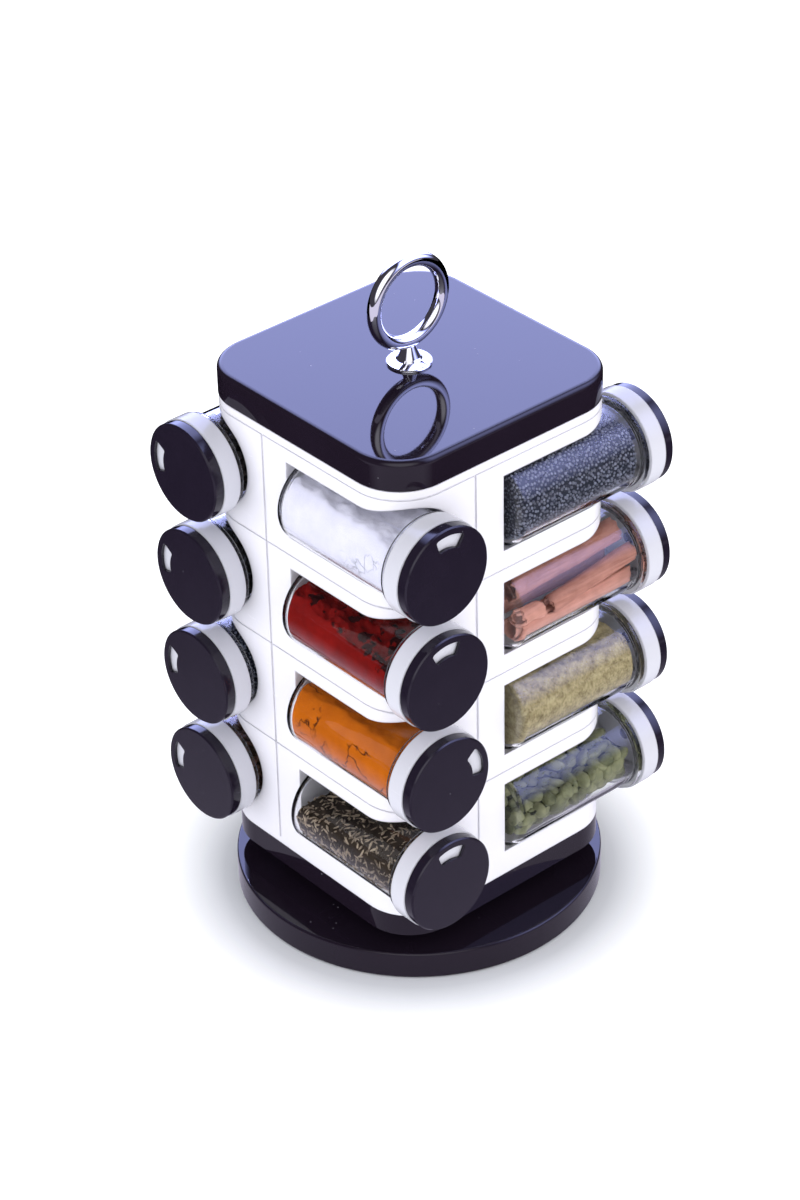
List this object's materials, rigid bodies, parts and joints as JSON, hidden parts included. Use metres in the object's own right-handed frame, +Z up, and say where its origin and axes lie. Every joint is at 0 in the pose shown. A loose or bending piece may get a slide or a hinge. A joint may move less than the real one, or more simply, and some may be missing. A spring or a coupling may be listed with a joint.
{
  "type": "revolving spice carousel",
  "caption": "Revolving spice rack: stacked trays hold clear jars lying in a pinwheel round a square tower, on a ball-race turntable, with a flat cover and a carrying ring.",
  "frame": {"origin": "centre of the base, on the surface that it stands on", "axes": "+Z up along the spindle; -Y is the front face, whose jars point along +X"},
  "size_m": [0.19, 0.19, 0.3604],
  "materials": {
    "white_plastic": "moulded gloss",
    "dark_plastic": "moulded high gloss",
    "jar_clear": "clear, polished",
    "ring_chrome": "bright plated",
    "bearing_steel": "zinc plated",
    "foot_rubber": "matt"
  },
  "bodies": {
    "base": {"base_plate": "dark_plastic", "base_feet": "foot_rubber"},
    "ball_ring": {"ball_bearing": "bearing_steel"},
    "carousel": {"platform": "dark_plastic", "tray_1": "white_plastic", "tray_2": "white_plastic", "tray_3": "white_plastic", "tray_4": "white_plastic", "top_frame": "white_plastic", "top_cover": "dark_plastic", "spindle": "bearing_steel", "ring_handle": "ring_chrome"},
    "jar_front_1": {"jar_front_1": "jar_clear"},
    "collar_front_1": {"collar_front_1": "white_plastic"},
    "dial_front_1": {"dial_front_1": "dark_plastic"},
    "jar_front_2": {"jar_front_2": "jar_clear"},
    "collar_front_2": {"collar_front_2": "white_plastic"},
    "dial_front_2": {"dial_front_2": "dark_plastic"},
    "jar_front_3": {"jar_front_3": "jar_clear"},
    "collar_front_3": {"collar_front_3": "white_plastic"},
    "dial_front_3": {"dial_front_3": "dark_plastic"},
    "jar_front_4": {"jar_front_4": "jar_clear"},
    "collar_front_4": {"collar_front_4": "white_plastic"},
    "dial_front_4": {"dial_front_4": "dark_plastic"},
    "jar_right_1": {"jar_right_1": "jar_clear"},
    "collar_right_1": {"collar_right_1": "white_plastic"},
    "dial_right_1": {"dial_right_1": "dark_plastic"},
    "jar_right_2": {"jar_right_2": "jar_clear"},
    "collar_right_2": {"collar_right_2": "white_plastic"},
    "dial_right_2": {"dial_right_2": "dark_plastic"},
    "jar_right_3": {"jar_right_3": "jar_clear"},
    "collar_right_3": {"collar_right_3": "white_plastic"},
    "dial_right_3": {"dial_right_3": "dark_plastic"},
    "jar_right_4": {"jar_right_4": "jar_clear"},
    "collar_right_4": {"collar_right_4": "white_plastic"},
    "dial_right_4": {"dial_right_4": "dark_plastic"},
    "jar_back_1": {"jar_back_1": "jar_clear"},
    "collar_back_1": {"collar_back_1": "white_plastic"},
    "dial_back_1": {"dial_back_1": "dark_plastic"},
    "jar_back_2": {"jar_back_2": "jar_clear"},
    "collar_back_2": {"collar_back_2": "white_plastic"},
    "dial_back_2": {"dial_back_2": "dark_plastic"},
    "jar_back_3": {"jar_back_3": "jar_clear"},
    "collar_back_3": {"collar_back_3": "white_plastic"},
    "dial_back_3": {"dial_back_3": "dark_plastic"},
    "jar_back_4": {"jar_back_4": "jar_clear"},
    "collar_back_4": {"collar_back_4": "white_plastic"},
    "dial_back_4": {"dial_back_4": "dark_plastic"},
    "jar_left_1": {"jar_left_1": "jar_clear"},
    "collar_left_1": {"collar_left_1": "white_plastic"},
    "dial_left_1": {"dial_left_1": "dark_plastic"},
    "jar_left_2": {"jar_left_2": "jar_clear"},
    "collar_left_2": {"collar_left_2": "white_plastic"},
    "dial_left_2": {"dial_left_2": "dark_plastic"},
    "jar_left_3": {"jar_left_3": "jar_clear"},
    "collar_left_3": {"collar_left_3": "white_plastic"},
    "dial_left_3": {"dial_left_3": "dark_plastic"},
    "jar_left_4": {"jar_left_4": "jar_clear"},
    "collar_left_4": {"collar_left_4": "white_plastic"},
    "dial_left_4": {"dial_left_4": "dark_plastic"}
  },
  "joints": [
    {"name": "carousel_turn", "type": "hinge", "parent": "base", "child": "carousel", "pos_m": [0, 0, 0.03], "axis": [0, 0, 1], "continuous": true},
    {"name": "ball_ring_turn", "type": "hinge", "parent": "base", "child": "ball_ring", "pos_m": [0, 0, 0.0189], "axis": [0, 0, 1], "continuous": true},
    {"name": "jar_front_1_slide", "type": "slide", "parent": "carousel", "child": "jar_front_1", "axis": [1, 0, 0], "range_m": [0, 0.09]},
    {"name": "jar_front_2_slide", "type": "slide", "parent": "carousel", "child": "jar_front_2", "axis": [1, 0, 0], "range_m": [0, 0.09]},
    {"name": "jar_front_3_slide", "type": "slide", "parent": "carousel", "child": "jar_front_3", "axis": [1, 0, 0], "range_m": [0, 0.09]},
    {"name": "jar_front_4_slide", "type": "slide", "parent": "carousel", "child": "jar_front_4", "axis": [1, 0, 0], "range_m": [0, 0.09]},
    {"name": "jar_right_1_slide", "type": "slide", "parent": "carousel", "child": "jar_right_1", "axis": [0, 1, 0], "range_m": [0, 0.09]},
    {"name": "jar_right_2_slide", "type": "slide", "parent": "carousel", "child": "jar_right_2", "axis": [0, 1, 0], "range_m": [0, 0.09]},
    {"name": "jar_right_3_slide", "type": "slide", "parent": "carousel", "child": "jar_right_3", "axis": [0, 1, 0], "range_m": [0, 0.09]},
    {"name": "jar_right_4_slide", "type": "slide", "parent": "carousel", "child": "jar_right_4", "axis": [0, 1, 0], "range_m": [0, 0.09]},
    {"name": "jar_back_1_slide", "type": "slide", "parent": "carousel", "child": "jar_back_1", "axis": [-1, 0, 0], "range_m": [0, 0.09]},
    {"name": "jar_back_2_slide", "type": "slide", "parent": "carousel", "child": "jar_back_2", "axis": [-1, 0, 0], "range_m": [0, 0.09]},
    {"name": "jar_back_3_slide", "type": "slide", "parent": "carousel", "child": "jar_back_3", "axis": [-1, 0, 0], "range_m": [0, 0.09]},
    {"name": "jar_back_4_slide", "type": "slide", "parent": "carousel", "child": "jar_back_4", "axis": [-1, 0, 0], "range_m": [0, 0.09]},
    {"name": "jar_left_1_slide", "type": "slide", "parent": "carousel", "child": "jar_left_1", "axis": [0, -1, 0], "range_m": [0, 0.09]},
    {"name": "jar_left_2_slide", "type": "slide", "parent": "carousel", "child": "jar_left_2", "axis": [0, -1, 0], "range_m": [0, 0.09]},
    {"name": "jar_left_3_slide", "type": "slide", "parent": "carousel", "child": "jar_left_3", "axis": [0, -1, 0], "range_m": [0, 0.09]},
    {"name": "jar_left_4_slide", "type": "slide", "parent": "carousel", "child": "jar_left_4", "axis": [0, -1, 0], "range_m": [0, 0.09]},
    {"name": "dial_front_1_turn", "type": "hinge", "parent": "collar_front_1", "child": "dial_front_1", "pos_m": [0.0921, -0.0605, 0.072], "axis": [1, 0, 0], "continuous": true},
    {"name": "dial_front_2_turn", "type": "hinge", "parent": "collar_front_2", "child": "dial_front_2", "pos_m": [0.0921, -0.0605, 0.132], "axis": [1, 0, 0], "continuous": true},
    {"name": "dial_front_3_turn", "type": "hinge", "parent": "collar_front_3", "child": "dial_front_3", "pos_m": [0.0921, -0.0605, 0.192], "axis": [1, 0, 0], "continuous": true},
    {"name": "dial_front_4_turn", "type": "hinge", "parent": "collar_front_4", "child": "dial_front_4", "pos_m": [0.0921, -0.0605, 0.252], "axis": [1, 0, 0], "continuous": true},
    {"name": "dial_right_1_turn", "type": "hinge", "parent": "collar_right_1", "child": "dial_right_1", "pos_m": [0.0605, 0.0921, 0.072], "axis": [0, 1, 0], "continuous": true},
    {"name": "dial_right_2_turn", "type": "hinge", "parent": "collar_right_2", "child": "dial_right_2", "pos_m": [0.0605, 0.0921, 0.132], "axis": [0, 1, 0], "continuous": true},
    {"name": "dial_right_3_turn", "type": "hinge", "parent": "collar_right_3", "child": "dial_right_3", "pos_m": [0.0605, 0.0921, 0.192], "axis": [0, 1, 0], "continuous": true},
    {"name": "dial_right_4_turn", "type": "hinge", "parent": "collar_right_4", "child": "dial_right_4", "pos_m": [0.0605, 0.0921, 0.252], "axis": [0, 1, 0], "continuous": true},
    {"name": "dial_back_1_turn", "type": "hinge", "parent": "collar_back_1", "child": "dial_back_1", "pos_m": [-0.0921, 0.0605, 0.072], "axis": [-1, 0, 0], "continuous": true},
    {"name": "dial_back_2_turn", "type": "hinge", "parent": "collar_back_2", "child": "dial_back_2", "pos_m": [-0.0921, 0.0605, 0.132], "axis": [-1, 0, 0], "continuous": true},
    {"name": "dial_back_3_turn", "type": "hinge", "parent": "collar_back_3", "child": "dial_back_3", "pos_m": [-0.0921, 0.0605, 0.192], "axis": [-1, 0, 0], "continuous": true},
    {"name": "dial_back_4_turn", "type": "hinge", "parent": "collar_back_4", "child": "dial_back_4", "pos_m": [-0.0921, 0.0605, 0.252], "axis": [-1, 0, 0], "continuous": true},
    {"name": "dial_left_1_turn", "type": "hinge", "parent": "collar_left_1", "child": "dial_left_1", "pos_m": [-0.0605, -0.0921, 0.072], "axis": [0, -1, 0], "continuous": true},
    {"name": "dial_left_2_turn", "type": "hinge", "parent": "collar_left_2", "child": "dial_left_2", "pos_m": [-0.0605, -0.0921, 0.132], "axis": [0, -1, 0], "continuous": true},
    {"name": "dial_left_3_turn", "type": "hinge", "parent": "collar_left_3", "child": "dial_left_3", "pos_m": [-0.0605, -0.0921, 0.192], "axis": [0, -1, 0], "continuous": true},
    {"name": "dial_left_4_turn", "type": "hinge", "parent": "collar_left_4", "child": "dial_left_4", "pos_m": [-0.0605, -0.0921, 0.252], "axis": [0, -1, 0], "continuous": true},
    {"name": "collar_front_1_off", "type": "slide", "parent": "jar_front_1", "child": "collar_front_1", "axis": [1, 0, 0], "range_m": [0, 0.03]},
    {"name": "collar_front_2_off", "type": "slide", "parent": "jar_front_2", "child": "collar_front_2", "axis": [1, 0, 0], "range_m": [0, 0.03]},
    {"name": "collar_front_3_off", "type": "slide", "parent": "jar_front_3", "child": "collar_front_3", "axis": [1, 0, 0], "range_m": [0, 0.03]},
    {"name": "collar_front_4_off", "type": "slide", "parent": "jar_front_4", "child": "collar_front_4", "axis": [1, 0, 0], "range_m": [0, 0.03]},
    {"name": "collar_right_1_off", "type": "slide", "parent": "jar_right_1", "child": "collar_right_1", "axis": [0, 1, 0], "range_m": [0, 0.03]},
    {"name": "collar_right_2_off", "type": "slide", "parent": "jar_right_2", "child": "collar_right_2", "axis": [0, 1, 0], "range_m": [0, 0.03]},
    {"name": "collar_right_3_off", "type": "slide", "parent": "jar_right_3", "child": "collar_right_3", "axis": [0, 1, 0], "range_m": [0, 0.03]},
    {"name": "collar_right_4_off", "type": "slide", "parent": "jar_right_4", "child": "collar_right_4", "axis": [0, 1, 0], "range_m": [0, 0.03]},
    {"name": "collar_back_1_off", "type": "slide", "parent": "jar_back_1", "child": "collar_back_1", "axis": [-1, 0, 0], "range_m": [0, 0.03]},
    {"name": "collar_back_2_off", "type": "slide", "parent": "jar_back_2", "child": "collar_back_2", "axis": [-1, 0, 0], "range_m": [0, 0.03]},
    {"name": "collar_back_3_off", "type": "slide", "parent": "jar_back_3", "child": "collar_back_3", "axis": [-1, 0, 0], "range_m": [0, 0.03]},
    {"name": "collar_back_4_off", "type": "slide", "parent": "jar_back_4", "child": "collar_back_4", "axis": [-1, 0, 0], "range_m": [0, 0.03]},
    {"name": "collar_left_1_off", "type": "slide", "parent": "jar_left_1", "child": "collar_left_1", "axis": [0, -1, 0], "range_m": [0, 0.03]},
    {"name": "collar_left_2_off", "type": "slide", "parent": "jar_left_2", "child": "collar_left_2", "axis": [0, -1, 0], "range_m": [0, 0.03]},
    {"name": "collar_left_3_off", "type": "slide", "parent": "jar_left_3", "child": "collar_left_3", "axis": [0, -1, 0], "range_m": [0, 0.03]},
    {"name": "collar_left_4_off", "type": "slide", "parent": "jar_left_4", "child": "collar_left_4", "axis": [0, -1, 0], "range_m": [0, 0.03]}
  ],
  "couplings": [
    {"joint": "ball_ring_turn", "follows": "carousel_turn", "ratio": 0.5}
  ]
}
